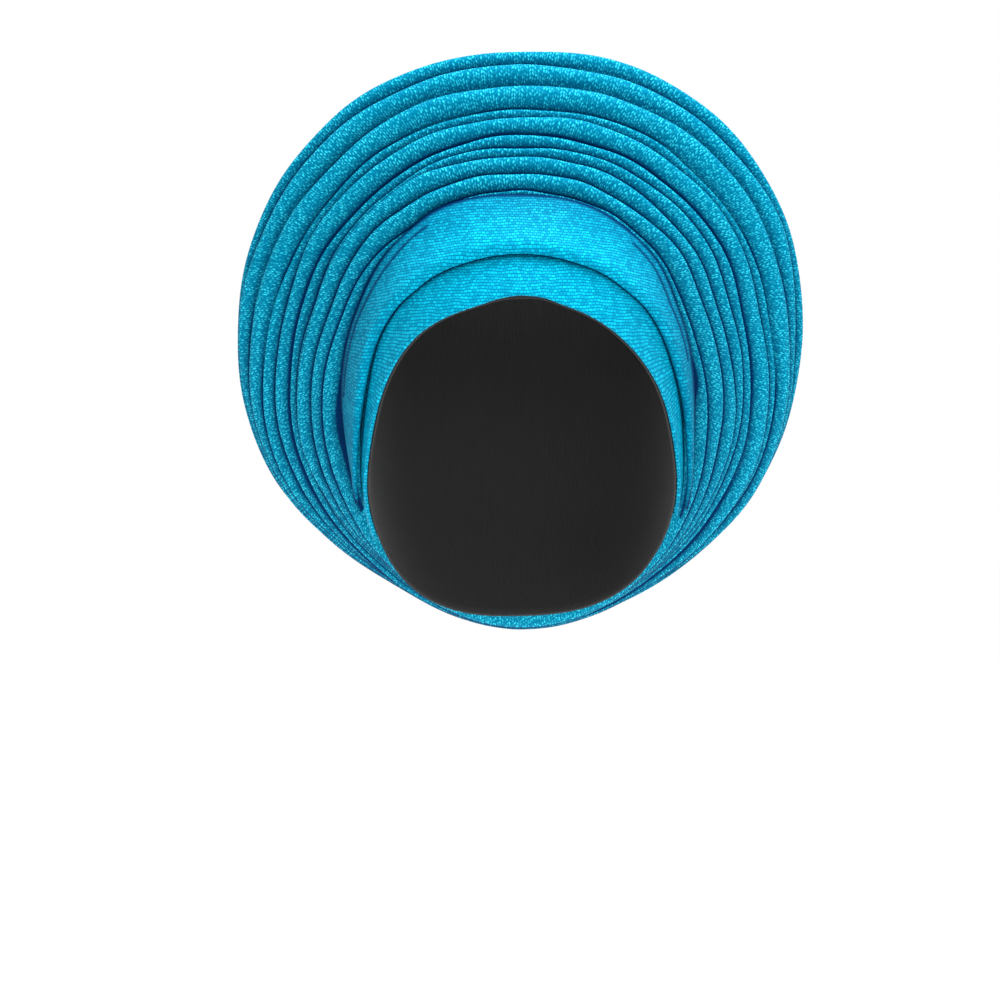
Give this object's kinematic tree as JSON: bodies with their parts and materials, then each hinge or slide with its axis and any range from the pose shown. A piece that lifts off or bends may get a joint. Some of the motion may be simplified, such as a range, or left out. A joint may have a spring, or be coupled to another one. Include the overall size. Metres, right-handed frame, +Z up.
{
  "type": "pleated fan head wrap",
  "caption": "Ready-made cloth head wrap: a close cap with crossed-over brow bands and a tall round fan of pleats that frames the face.",
  "frame": {"origin": "the crown of the head inside the cap, where the wrap sits on top of the head", "axes": "+Z up, -Y the way the wearer looks, +X to the right in a view from the front"},
  "size_m": [0.2791, 0.2013, 0.279],
  "materials": {
    "black_knit": "matt black knit",
    "turquoise_cloth": "stiff woven cloth with silvery metallic dashes"
  },
  "bodies": {
    "root": {"inner_cap": "black_knit", "crown_cap": "turquoise_cloth", "forehead_band": "turquoise_cloth", "upper_band": "turquoise_cloth", "pleat_01": "turquoise_cloth", "pleat_02": "turquoise_cloth", "pleat_03": "turquoise_cloth", "pleat_04": "turquoise_cloth", "pleat_05": "turquoise_cloth", "pleat_06": "turquoise_cloth", "pleat_07": "turquoise_cloth", "pleat_08": "turquoise_cloth", "pleat_09": "turquoise_cloth", "pleat_10": "turquoise_cloth"}
  },
  "joints": []
}
